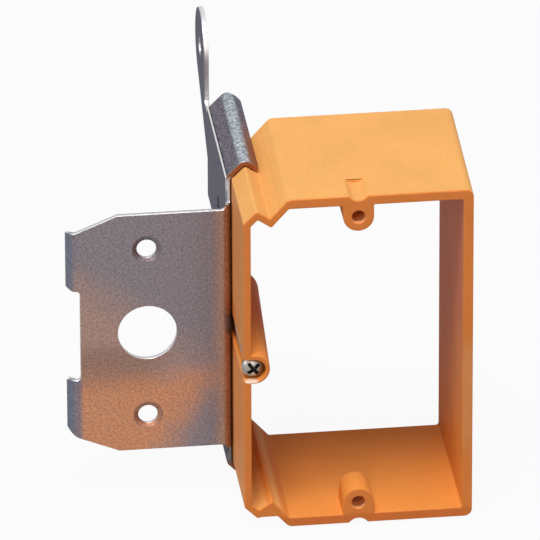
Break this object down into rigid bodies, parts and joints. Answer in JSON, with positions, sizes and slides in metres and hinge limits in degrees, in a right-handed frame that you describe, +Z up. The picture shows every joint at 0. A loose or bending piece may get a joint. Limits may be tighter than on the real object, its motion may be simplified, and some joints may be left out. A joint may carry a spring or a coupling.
{
  "type": "low voltage mounting bracket",
  "caption": "Open moulded frame for a low voltage device, carried on a folded steel stud bracket; a screw slides the frame in or out to suit the thickness of the wall.",
  "frame": {"origin": "midway between the two device screw holes, on the frame's front face", "axes": "+X to the right seen from the room, +Y back into the wall, +Z up"},
  "size_m": [0.1039, 0.0937, 0.1105],
  "materials": {
    "frame_plastic": "moulded, satin",
    "bracket_steel": "galvanised sheet",
    "screw_steel": "zinc plated"
  },
  "bodies": {
    "bracket": {"stud_bracket": "bracket_steel"},
    "frame": {"box_frame": "frame_plastic"},
    "screw": {"adjusting_screw": "screw_steel"}
  },
  "joints": [
    {"name": "box_slide", "type": "slide", "parent": "bracket", "child": "frame", "axis": [0, -1, 0], "range_m": [-0.0235, 0.001]},
    {"name": "screw_turn", "type": "hinge", "parent": "frame", "child": "screw", "pos_m": [-0.0272, 0.0032, -0.0012], "axis": [0, -1, 0], "range_deg": [-10660, 460]}
  ],
  "couplings": [
    {"joint": "screw_turn", "follows": "box_slide", "rad_per_m": 7913.3}
  ]
}
